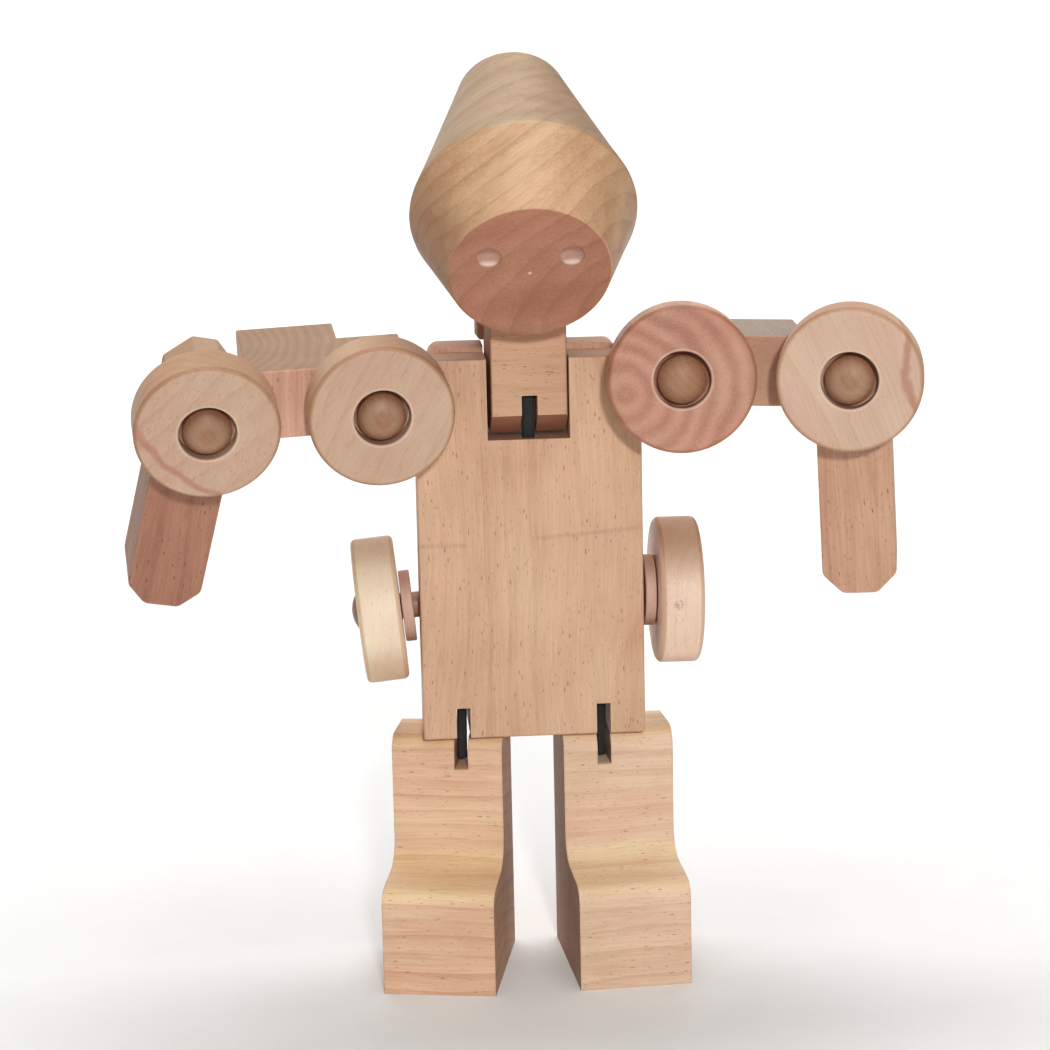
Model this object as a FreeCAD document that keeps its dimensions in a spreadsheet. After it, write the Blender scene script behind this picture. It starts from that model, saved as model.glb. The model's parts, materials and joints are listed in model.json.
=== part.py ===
import FreeCAD, Part
import math
import os
import Sketcher
from FreeCAD import Vector as V, Rotation, Placement

os.makedirs("parts", exist_ok=True)
doc = FreeCAD.newDocument("wooden_robot")

# ---------------------------------------------------------------- sizes, mm
SIZES = [
    # overall shift, so that the origin is under the middle of the figure
    ("shift_x", 3.464), ("shift_y", -4.1795),
    # torso
    ("torso_w", 54.68), ("torso_z0", 59.4), ("torso_height", 93.85),
    ("front_t", 14.46), ("back_t", 12.5), ("back_w", 46.8), ("back_step", 1.5),
    ("notch_w", 19.9), ("notch_z", 133.5), ("edge_break", 0.6),
    ("slot_w", 3.4), ("slot_up", 7.7), ("strip_w", 2.3), ("strip_t", 5.0),
    ("hip_cord_x_rt", -17.55), ("hip_cord_x_lt", 17.05), ("hip_cord_y", 7.0),
    # legs
    ("leg_w", 27.5), ("leg_top", 59.1), ("leg_depth", 17.7), ("toe_out", 21.2),
    ("instep_z", 27.3), ("toe_z", 25.4), ("leg_round", 4.5), ("instep_round", 7.0),
    ("toe_round", 4.2), ("leg_x", 20.22), ("leg_y", 12.12),
    ("leg_yaw_rt", -10.55), ("leg_yaw_lt", 4.12), ("leg_slot_down", 8.3),
    # neck and head
    ("neck_w", 18.5), ("neck_depth", 17.0), ("neck_y", 0.6), ("neck_z0", 134.6),
    ("neck_cut", 4.6), ("neck_yaw", 2.6), ("neck_slot_w", 3.8), ("neck_slot_top", 144.0), ("neck_strip_w", 3.3), ("neck_strip_t", 2.2), ("neck_strip_y", 4.4), ("neck_strip_x", 0.2),
    ("rest_left", 10.6), ("rest_right", 9.25), ("rest_t", 9.0), ("rest_z", 155.9), ("rest_h", 6.0),
    ("face_r", 18.9), ("rim_r", 27.05), ("rear_r", 12.9), ("front_len", 21.5), ("rear_len", 47.3),
    ("head_x", -0.45), ("head_y", -4.35), ("head_z", 187.97), ("head_down", 35.0),
    ("eye_r", 3.0), ("eye_x", 9.55), ("eye_y", 4.8), ("dowel_r", 4.0), ("head_bore_r", 4.06),
    # arms
    ("arm_half", 8.6), ("arm_inner", 8.2), ("arm_step", 6.9), ("arm_outer", 30.6),
    ("arm_deep", 32.0), ("arm_shallow", 20.5), ("arm_bore_y", 10.25), ("arm_bore2_y", 11.0),
    ("fore_half", 9.0), ("fore_depth", 18.0), ("fore_up", 9.7), ("fore_down", 55.3),
    ("fore_cut", 6.0), ("fore_cut2", 4.8), ("fore_round", 1.2), ("fore_round2", 2.6),
    ("cord_bore_r", 2.5), ("cord_r", 1.3), ("peg_drop", 0.4),
    # arm placements: shoulder peg's foot on the block's front face, and the elbow peg's
    ("sh_rt_x", -36.53), ("sh_rt_y", -3.0), ("sh_rt_z", 145.31), ("sh_rt_yaw", 5.5), ("sh_rt_pitch", -2.0), ("sh_rt_roll", 12.0),
    ("sh_lt_x", 36.16), ("sh_lt_y", -3.0), ("sh_lt_z", 149.57), ("sh_lt_yaw", -3.5), ("sh_lt_pitch", 1.7), ("sh_lt_roll", 0.5),
    ("el_rt_x", -77.12), ("el_rt_y", -8.87), ("el_rt_z", 144.95), ("el_rt_yaw", 11.0), ("el_rt_pitch", 11.1), ("el_rt_roll", 20.0),
    ("el_lt_x", 76.94), ("el_lt_y", -7.5), ("el_lt_z", 148.95), ("el_lt_yaw", -12.5), ("el_lt_pitch", -2.4), ("el_lt_roll", 3.0),
    # wheels, pegs and hub rings
    ("wheel_t", 10.5), ("wheel_edge", 1.4), ("bore_r", 3.27), ("well_r", 6.75), ("well_depth", 3.7),
    ("peg_r", 3.2), ("peg_head_r", 5.75), ("peg_dome", 2.6), ("peg_lip", 2.0), ("peg_proud", 1.6),
    ("ring_r", 8.8), ("ring_arm_t", 2.6), ("ring_hip_t", 2.7), ("gap", 0.3),
    ("r_sh_rt", 17.3), ("r_sh_lt", 17.65), ("r_el_rt", 17.1), ("r_el_lt", 17.3), ("r_hip_rt", 17.85), ("r_hip_lt", 18.1),
    ("hip_rt_y", 10.9), ("hip_rt_z", 91.4), ("hip_rt_lean", 5.4), ("hip_rt_out", 1.6),
    ("hip_lt_y", 10.9), ("hip_lt_z", 93.0), ("hip_lt_lean", 0.5), ("hip_lt_out", 0.8),
]
sheet = doc.addObject("Spreadsheet::Sheet", "dims")
for i, (name, value) in enumerate(SIZES):
    sheet.set("A%d" % (i + 1), name)
    sheet.set("B%d" % (i + 1), repr(value))
    sheet.setAlias("B%d" % (i + 1), name)
doc.recompute()
D = {name: float(sheet.get(name)) for name, _ in SIZES}
SHIFT = V(D["shift_x"], D["shift_y"], 0)


def e(text):
    """An expression over the sheet's names."""
    out, word = "", ""
    for ch in text + " ":
        if ch.isalnum() or ch == "_" or ch == ".":
            word += ch
            continue
        if word and word in D:
            word = "dims." + word
        out += word + ch
        word = ""
    return out.strip()


def value(text):
    """The number that such an expression gives."""
    total, token, sign, current, op = 0.0, "", 1.0, None, None
    terms = text.replace("-", "+-").split("+")
    for term in terms:
        term = term.strip()
        if not term:
            continue
        s = 1.0
        while term.startswith("-"):
            s, term = -s, term[1:].strip()
        product = None
        for k, part in enumerate(term.replace("/", "*/").split("*")):
            part = part.strip()
            inverse = part.startswith("/")
            part = part.lstrip("/").strip()
            number = D[part] if part in D else float(part)
            number = 1.0 / number if inverse else number
            product = number if product is None else product * number
        total += s * product
    return total


def new_body(label):
    body = doc.addObject("PartDesign::Body", label)
    body.Label = label
    return body


def plane(body, role):
    return [o for o in body.Origin.OriginFeatures if o.Role == role][0]


def sketch(body, role, name, offset=None):
    sk = body.newObject("Sketcher::SketchObject", name)
    sk.AttachmentSupport = [(plane(body, role), "")]
    sk.MapMode = "FlatFace"
    if offset is not None:
        sk.setExpression("AttachmentOffset.Base.z", e(offset))
    return sk


def poly(sk, points):
    """A closed polygon, each corner held at a distance from the origin that the sheet gives."""
    at = [V(value(x), value(y), 0) for x, y in points]
    first = sk.GeometryCount
    n = len(at)
    for i in range(n):
        sk.addGeometry(Part.LineSegment(at[i], at[(i + 1) % n]), False)
    for i in range(n):
        sk.addConstraint(Sketcher.Constraint("Coincident", first + i, 2, first + (i + 1) % n, 1))
    for i, (x, y) in enumerate(points):
        for kind, text, number in (("DistanceX", x, at[i].x), ("DistanceY", y, at[i].y)):
            k = sk.addConstraint(Sketcher.Constraint(kind, -1, 1, first + i, 1, number))
            if any(name in text for name in D):
                sk.setExpression("Constraints[%d]" % k, e(text))


def circle(sk, x, y, r):
    g = sk.addGeometry(Part.Circle(V(value(x), value(y), 0), V(0, 0, 1), value(r)), False)
    k = sk.addConstraint(Sketcher.Constraint("Radius", g, value(r)))
    sk.setExpression("Constraints[%d]" % k, e(r))
    for kind, text in (("DistanceX", x), ("DistanceY", y)):
        k = sk.addConstraint(Sketcher.Constraint(kind, -1, 1, g, 3, value(text)))
        if any(name in text for name in D):
            sk.setExpression("Constraints[%d]" % k, e(text))


def pad(body, sk, length, back=False, middle=False):
    f = body.newObject("PartDesign::Pad", sk.Name + "_pad")
    f.Profile = sk
    f.Length = value(length)
    f.setExpression("Length", e(length))
    if middle:
        f.Midplane = True
    f.Reversed = back
    sk.Visibility = False
    return f


def pocket(body, sk, length, back=False, middle=False):
    doc.recompute()
    before = body.Shape.Volume
    f = body.newObject("PartDesign::Pocket", sk.Name + "_cut")
    f.Profile = sk
    f.Length = value(length)
    f.setExpression("Length", e(length))
    if middle:
        f.Midplane = True
    f.Reversed = back
    sk.Visibility = False
    doc.recompute()
    if f.Shape.isNull() or body.Shape.Volume > before - 0.5:
        f.Reversed = not back
        doc.recompute()
    if body.Shape.Volume > before - 0.5:
        raise RuntimeError(body.Label + ": " + sk.Name + " cuts nothing")
    return f


def edges(body, test):
    doc.recompute()
    out = []
    for i, edge in enumerate(body.Tip.Shape.Edges):
        if test(edge):
            out.append("Edge%d" % (i + 1))
    if not out:
        raise RuntimeError(body.Label + ": no edge found")
    return out


def dress(body, kind, test, size, name):
    names = edges(body, test)
    base = body.Tip
    f = body.newObject("PartDesign::" + kind, name)
    f.Base = (base, names)
    if kind == "Fillet":
        f.Radius = value(size)
        f.setExpression("Radius", e(size))
    else:
        f.Size = value(size)
        f.setExpression("Size", e(size))
    doc.recompute()
    if f.Shape.isNull() or not f.Shape.isValid() or "Invalid" in f.State:
        raise RuntimeError(body.Label + ": " + name + " failed")
    return f


def is_line(edge, axis=None):
    if edge.Curve.TypeId != "Part::GeomLine":
        return False
    if axis is None:
        return True
    return abs(abs(edge.tangentAt(edge.FirstParameter).dot(axis)) - 1) < 1e-4


def near(a, b, tol=0.02):
    return abs(a - b) < tol


X, Y, Z = V(1, 0, 0), V(0, 1, 0), V(0, 0, 1)

# ---------------------------------------------------------------- placements
SH, EL = {}, {}
for side in ("rt", "lt"):
    for table, key in ((SH, "sh_"), (EL, "el_")):
        table[side] = Placement(
            V(D[key + side + "_x"], D[key + side + "_y"], D[key + side + "_z"]) + SHIFT,
            Rotation(D[key + side + "_yaw"], D[key + side + "_pitch"], D[key + side + "_roll"]))
SIGN = {"rt": -1.0, "lt": 1.0}
LEG = {side: Placement(V(SIGN[side] * D["leg_x"], D["leg_y"], 0) + SHIFT, Rotation(Z, D["leg_yaw_" + side]))
       for side in SIGN}
HIP = {}
for side in SIGN:
    lean = math.radians(D["hip_" + side + "_lean"])
    out = V(SIGN[side] * math.cos(lean), 0, -math.sin(lean))
    HIP[side] = Placement(V(SIGN[side] * D["torso_w"] / 2, D["hip_" + side + "_y"], D["hip_" + side + "_z"]) + SHIFT,
                          Rotation(Z, out))
NECK = Placement(V(0, D["neck_y"] + D["neck_depth"] / 2, 0) + SHIFT, Rotation(Z, D["neck_yaw"]))
down = math.radians(D["head_down"])
FACE = V(0, -math.cos(down), -math.sin(down))
HEAD = Placement(V(D["head_x"], D["head_y"], D["head_z"]) + SHIFT, Rotation(X, 90 + D["head_down"]))
TORSO = Placement(SHIFT, Rotation())


def carve(label, base, cutters, placement=None):
    """A base object less its cutters, as one named Part::Cut."""
    if len(cutters) == 1:
        tool = cutters[0]
    else:
        tool = doc.addObject("Part::MultiFuse", label + "_tools")
        tool.Shapes = cutters
    cut = doc.addObject("Part::Cut", label)
    cut.Label = label
    cut.Base = base
    cut.Tool = tool
    return cut


def cylinder(name, r, length, at, along, back="0"):
    """A primitive whose radius and height come from the sheet, placed along a direction."""
    c = doc.addObject("Part::Cylinder", name)
    c.Radius = value(r)
    c.setExpression("Radius", e(r))
    c.Height = value(length)
    c.setExpression("Height", e(length))
    along = V(along).normalize()
    c.Placement = Placement(V(at) - along * value(back), Rotation(Z, along))
    return c


def strip(label, across, thick, length, top):
    """A flat elastic strip, hanging straight down from the middle of its top end."""
    c = doc.addObject("Part::Box", label)
    c.Label = label
    c.setExpression("Length", e(across))
    c.setExpression("Width", e(thick))
    c.Height = length
    c.Placement = Placement(top - V(D[across] / 2, D[thick] / 2, length), Rotation())
    return c


NODES = []

# ---------------------------------------------------------------- torso, front board
b = new_body("torso_front_board")
sk = sketch(b, "XZ_Plane", "front_outline")
poly(sk, [("-torso_w/2", "torso_z0"), ("torso_w/2", "torso_z0"),
          ("torso_w/2", "torso_z0+torso_height"), ("-torso_w/2", "torso_z0+torso_height")])
pad(b, sk, "front_t", back=True)
doc.recompute()
dress(b, "Fillet", lambda q: near(q.BoundBox.YMax, 0) or (is_line(q, Y)), "edge_break", "front_arris")
sk = sketch(b, "XZ_Plane", "front_notch")
poly(sk, [("-notch_w/2", "notch_z"), ("notch_w/2", "notch_z"),
          ("notch_w/2", "torso_z0+torso_height+5"), ("-notch_w/2", "torso_z0+torso_height+5")])
pocket(b, sk, "front_t+2", back=True)
for side in ("rt", "lt"):
    cx = "hip_cord_x_" + side
    sk = sketch(b, "XZ_Plane", "hip_slot_" + side)
    poly(sk, [(cx + "-slot_w/2", "torso_z0-2"), (cx + "+slot_w/2", "torso_z0-2"),
              (cx + "+slot_w/2", "torso_z0+slot_up"), (cx + "-slot_w/2", "torso_z0+slot_up")])
    pocket(b, sk, "front_t+2", back=True)
b.Placement = TORSO
tools = []
for side in ("rt", "lt"):
    s = SIGN[side]
    # bores for the shoulder elastic and for the hip wheel's peg
    start = SH[side].multVec(V(-s * D["arm_inner"], D["arm_bore_y"], 0))
    level = start.z - (0.7 if side == "lt" else 0.0)
    tools.append(cylinder("shoulder_well_" + side, "cord_bore_r", "12", V(s * (D["torso_w"] / 2 + 2) + SHIFT.x, start.y, level), V(-s, 0, 0)))
    out = HIP[side].Rotation.multVec(Z)
    tools.append(cylinder("axle_hole_" + side, "peg_r+0.02", "13.02", HIP[side].Base + out * 3, -out))
tools.append(cylinder("neck_well", "2.15", "9", V(D["neck_strip_x"], D["neck_strip_y"], D["notch_z"] + 1) + SHIFT, -Z))
NODES.append(carve("torso_front_board_cut", b, tools))
NODES[-1].Label = "torso_front"

# ---------------------------------------------------------------- torso, back board
b = new_body("torso_back_board")
sk = sketch(b, "XZ_Plane", "back_outline")
poly(sk, [("-back_w/2", "torso_z0"), ("back_w/2", "torso_z0"),
          ("back_w/2", "torso_z0+torso_height+back_step"), ("-back_w/2", "torso_z0+torso_height+back_step")])
pad(b, sk, "back_t", back=True)
doc.recompute()
dress(b, "Fillet", lambda q: is_line(q, Y) and q.BoundBox.ZMin > 100, "3", "back_corners")
dress(b, "Fillet", lambda q: near(q.BoundBox.YMin, D["back_t"]), "edge_break", "back_arris")
sk = sketch(b, "XZ_Plane", "back_notch")
poly(sk, [("-notch_w/2", "notch_z"), ("notch_w/2", "notch_z"),
          ("notch_w/2", "torso_z0+torso_height+5"), ("-notch_w/2", "torso_z0+torso_height+5")])
pocket(b, sk, "back_t+2", back=True)
for side in ("rt", "lt"):
    cx = "hip_cord_x_" + side
    sk = sketch(b, "XZ_Plane", "back_slot_" + side)
    poly(sk, [(cx + "-slot_w/2", "torso_z0-2"), (cx + "+slot_w/2", "torso_z0-2"),
              (cx + "+slot_w/2", "torso_z0+slot_up"), (cx + "-slot_w/2", "torso_z0+slot_up")])
    pocket(b, sk, "back_t+2", back=True)
b.Placement = Placement(V(0, D["front_t"], 0) + SHIFT, Rotation())
# the hip wheels' pegs pass in front of this board, except where one leans into it
NODES.append(b)

# ---------------------------------------------------------------- neck block
# the head's lowest line, from the face's edge to the rim, sets the slope of the block's top
low_face = HEAD.Base + FACE * D["front_len"] + V(0, math.sin(down), -math.cos(down)) * D["face_r"]
low_rim = HEAD.Base + V(0, math.sin(down), -math.cos(down)) * D["rim_r"]
slope = (low_rim.z - low_face.z) / (low_rim.y - low_face.y)
seat = V(0, -slope, 1).normalize()
b = new_body("neck_block")
sk = sketch(b, "YZ_Plane", "neck_side")
y0 = -D["neck_depth"] / 2
top0 = low_face.z + slope * ((NECK.Base.y + y0) - low_face.y) - 0.45
top1 = low_face.z + slope * ((NECK.Base.y - y0) - low_face.y) - 0.45
poly(sk, [("-neck_depth/2", "neck_z0"), ("neck_depth/2", "neck_z0"),
          ("neck_depth/2", repr(round(top1, 4))), ("-neck_depth/2", repr(round(top0, 4)))])
pad(b, sk, "neck_w", middle=True)
doc.recompute()
dress(b, "Chamfer", lambda q: is_line(q, X) and near(q.BoundBox.ZMax, D["neck_z0"]) and q.BoundBox.YMax < 0, "neck_cut", "neck_front_cut")
dress(b, "Fillet", lambda q: is_line(q, X) and near(q.BoundBox.ZMax, D["neck_z0"]) and q.BoundBox.YMax > 7, "2.5", "neck_back_round")
dress(b, "Fillet", lambda q: is_line(q, Z) and q.Length > 15, "edge_break", "neck_arris")
sk = sketch(b, "XZ_Plane", "neck_slot", offset="neck_depth/2")
poly(sk, [("-neck_slot_w/2", "neck_z0-2"), ("neck_slot_w/2", "neck_z0-2"),
          ("neck_slot_w/2", "neck_slot_top"), ("-neck_slot_w/2", "neck_slot_top")])
pocket(b, sk, "6.6", back=True)
b.Placement = NECK
seat_mid = V(D["head_x"] + SHIFT.x, NECK.Base.y, low_face.z + slope * (NECK.Base.y - low_face.y))
tools = [cylinder("neck_dowel_hole", "dowel_r+0.02", "14.02", seat_mid + seat * 2, -seat)]
NODES.append(carve("neck_block_cut", b, tools))
NODES[-1].Label = "neck"

b = new_body("neck_rest")
b.Label = "neck_back_block"
sk = sketch(b, "XY_Plane", "rest_plan", offset="rest_z")
poly(sk, [("-rest_left", "neck_depth/2"), ("rest_right", "neck_depth/2"),
          ("rest_right", "neck_depth/2+rest_t"), ("-rest_left", "neck_depth/2+rest_t")])
pad(b, sk, "rest_h")
doc.recompute()
dress(b, "Fillet", lambda q: is_line(q) and q.BoundBox.YMax > D["neck_depth"] / 2 + 1, "0.8", "rest_arris")
b.Placement = NECK
NODES.append(b)

c = cylinder("neck_dowel", "dowel_r", "24", seat_mid - seat * 12, seat)
c.Label = "neck_dowel"
NODES.append(c)

# ---------------------------------------------------------------- head: one turning, two cones
b = new_body("head_turning")
sk = sketch(b, "XZ_Plane", "head_profile")
poly(sk, [("0", "front_len"), ("0", "-rear_len"), ("rear_r", "-rear_len"), ("rim_r", "0"), ("face_r", "front_len")])
f = b.newObject("PartDesign::Revolution", "head_turned")
f.Profile = sk
f.ReferenceAxis = (plane(b, "Z_Axis"), [""])
f.Angle = 360
sk.Visibility = False
doc.recompute()
dress(b, "Fillet", lambda q: near(q.BoundBox.ZMin, -D["rear_len"]) and near(q.BoundBox.ZMax, -D["rear_len"]) and q.BoundBox.XMax > 5, "3.2", "rear_round")
dress(b, "Fillet", lambda q: near(q.BoundBox.ZMin, 0) and near(q.BoundBox.ZMax, 0), "2.2", "rim_round")
dress(b, "Fillet", lambda q: near(q.BoundBox.ZMin, D["front_len"]) and near(q.BoundBox.ZMax, D["front_len"]), "0.7", "face_edge")
b.Placement = HEAD
tools = [cylinder("head_bore", "head_bore_r", "15.5", seat_mid - seat * 2, seat)]
right = X
upward = FACE.cross(X) * -1 if FACE.cross(X).z < 0 else FACE.cross(X)
for k, s in (("rt", -1), ("lt", 1)):
    ball = doc.addObject("Part::Sphere", "eye_ball_" + k)
    ball.Radius = 5.2
    spot = HEAD.Base + FACE * D["front_len"] + right * (s * D["eye_x"]) + upward * D["eye_y"]
    reach = math.sqrt(5.2 ** 2 - D["eye_r"] ** 2)
    ball.Placement = Placement(spot + FACE * reach, Rotation())
    tools.append(ball)
NODES.append(carve("head_cut", b, tools))
NODES[-1].Label = "head"

c = strip("neck_elastic", "neck_strip_w", "neck_strip_t", 17.2, V(D["neck_strip_x"], D["neck_strip_y"], D["neck_slot_top"] - 0.2) + SHIFT)
NODES.append(c)

# ---------------------------------------------------------------- legs
for side in ("rt", "lt"):
    s = SIGN[side]
    b = new_body("leg_block_" + side)
    sk = sketch(b, "YZ_Plane", "leg_side_" + side)
    poly(sk, [("-leg_depth/2", "leg_top"), ("-leg_depth/2", "instep_z"), ("-leg_depth/2-toe_out", "toe_z"),
              ("-leg_depth/2-toe_out", "0"), ("leg_depth/2", "0"), ("leg_depth/2", "leg_top")])
    pad(b, sk, "leg_w", middle=True)
    doc.recompute()
    yf = -D["leg_depth"] / 2
    dress(b, "Fillet", lambda q: is_line(q, X) and near(q.BoundBox.ZMin, D["leg_top"]) and near(q.BoundBox.YMin, yf), "leg_round", "leg_top_round_" + side)
    dress(b, "Fillet", lambda q: is_line(q, X) and near(q.BoundBox.ZMin, D["instep_z"]) and near(q.BoundBox.YMin, yf), "instep_round", "leg_instep_" + side)
    dress(b, "Fillet", lambda q: is_line(q, X) and near(q.BoundBox.ZMin, D["toe_z"]) and near(q.BoundBox.YMin, yf - D["toe_out"]), "toe_round", "leg_toe_" + side)
    dress(b, "Fillet", lambda q: is_line(q, X) and near(q.BoundBox.ZMin, D["leg_top"]) and near(q.BoundBox.YMin, -yf), "1.0", "leg_back_round_" + side)
    world = V(D["hip_cord_x_" + side], D["hip_cord_y"], 0) + SHIFT
    here = LEG[side].inverse().multVec(world)
    sk = sketch(b, "XZ_Plane", "leg_slot_" + side, offset="leg_depth/2")
    poly(sk, [("%.4f-slot_w/2" % here.x, "leg_top-leg_slot_down"), ("%.4f+slot_w/2" % here.x, "leg_top-leg_slot_down"),
              ("%.4f+slot_w/2" % here.x, "leg_top+2"), ("%.4f-slot_w/2" % here.x, "leg_top+2")])
    pocket(b, sk, "leg_depth+2", back=True)
    b.Placement = LEG[side]
    b.Label = "leg_right" if side == "rt" else "leg_left"
    NODES.append(b)
    low = 1.6 if side == "rt" else 1.2
    NODES.append(strip("hip_elastic_right" if side == "rt" else "hip_elastic_left", "strip_w", "strip_t",
                       D["slot_up"] + D["torso_z0"] - D["leg_top"] + D["leg_slot_down"] - 0.2 - low,
                       world + V(0, 0, D["torso_z0"] + D["slot_up"] - 0.2)))

# ---------------------------------------------------------------- arms
for side in ("rt", "lt"):
    s = SIGN[side]
    sg = "-" if s < 0 else ""
    word = "right" if side == "rt" else "left"
    b = new_body("upper_arm_block_" + side)
    sk = sketch(b, "XY_Plane", "arm_plan_" + side)
    mi = "" if s < 0 else "-"
    poly(sk, [(mi + "arm_inner", "0"), (sg + "arm_outer", "0"), (sg + "arm_outer", "arm_deep"),
              (sg + "arm_step", "arm_deep"), (sg + "arm_step", "arm_shallow"), (mi + "arm_inner", "arm_shallow")])
    pad(b, sk, "arm_half*2", middle=True)
    doc.recompute()
    dress(b, "Fillet", lambda q: is_line(q) and not near(abs(q.CenterOfMass.x), D["arm_step"], 0.1), "0.5", "arm_arris_" + side)
    b.Placement = SH[side]
    P, R = SH[side], SH[side].Rotation
    inner = P.multVec(V(-s * D["arm_inner"], D["arm_bore_y"], 0))
    outer = P.multVec(V(s * D["arm_outer"], D["arm_bore2_y"], 0))
    along = R.multVec(V(s, 0, 0))
    tools = [cylinder("arm_peg_hole_" + side, "peg_r+0.02", "8.02", P.multVec(V(0, -1, -D["peg_drop"])), R.multVec(Y)),
             cylinder("arm_inner_well_" + side, "cord_bore_r", "12", inner - along * 2, along),
             cylinder("arm_outer_well_" + side, "cord_bore_r", "12", outer + along * 2, -along)]
    NODES.append(carve("upper_arm_cut_" + side, b, tools))
    NODES[-1].Label = "upper_arm_" + word

    # forearm: a bar with its ends cut off at the corners
    b = new_body("forearm_bar_" + side)
    sk = sketch(b, "XZ_Plane", "forearm_front_" + side)
    poly(sk, [("-fore_half", "-fore_down"), ("fore_half", "-fore_down"), ("fore_half", "fore_up"), ("-fore_half", "fore_up")])
    pad(b, sk, "fore_depth", back=True)
    doc.recompute()
    dress(b, "Chamfer", lambda q: is_line(q, Y) and q.BoundBox.ZMin > 0, "fore_cut", "forearm_top_cut_" + side)
    dress(b, "Chamfer", lambda q: is_line(q, Y) and q.BoundBox.ZMax < -40, "fore_cut2", "forearm_end_cut_" + side)
    dress(b, "Fillet", lambda q: is_line(q, Y) and q.BoundBox.ZMin > 0, "fore_round", "forearm_top_" + side)
    dress(b, "Fillet", lambda q: is_line(q, Y) and q.BoundBox.ZMax < -40, "fore_round2", "forearm_end_" + side)
    dress(b, "Fillet", lambda q: near(q.BoundBox.YMax, 0) or near(q.BoundBox.YMin, D["fore_depth"]), "0.5", "forearm_arris_" + side)
    b.Placement = EL[side]
    Q, S = EL[side], EL[side].Rotation
    # the elbow's elastic leaves the upper arm along its length and enters the forearm's inner side
    a0, a1 = Q.inverse().multVec(outer), Q.inverse().Rotation.multVec(along)
    t = (-s * D["fore_half"] - a0.x) / a1.x
    entry = a0 + a1 * t
    entry_world = Q.multVec(entry)
    into = S.multVec(V(s, 0, 0))
    tools = [cylinder("forearm_peg_hole_" + side, "peg_r+0.02", "10.02", Q.multVec(V(0, -1, 0)), S.multVec(Y)),
             cylinder("forearm_well_" + side, "cord_bore_r", "10", entry_world - into * 2, into)]
    NODES.append(carve("forearm_cut_" + side, b, tools))
    NODES[-1].Label = "forearm_" + word

    # elastics, bent where they leave one bore for the next
    mid = (outer + entry_world) * 0.5
    one = cylinder("elbow_cord_a_" + side, "cord_r", "9", mid, -along)
    two = cylinder("elbow_cord_b_" + side, "cord_r", "7", mid, into)
    knee = doc.addObject("Part::Sphere", "elbow_cord_c_" + side)
    knee.Radius = D["cord_r"]
    knee.setExpression("Radius", "dims.cord_r")
    knee.Placement = Placement(mid, Rotation())
    c = doc.addObject("Part::MultiFuse", "elbow_cord_" + side)
    c.Shapes = [one, knee, two]
    c.Label = "elbow_elastic_" + word
    NODES.append(c)
    c = cylinder("shoulder_cord_" + side, "cord_r", "17", inner + along * 9, -along)
    c.Label = "shoulder_elastic_" + word
    NODES.append(c)


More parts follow.
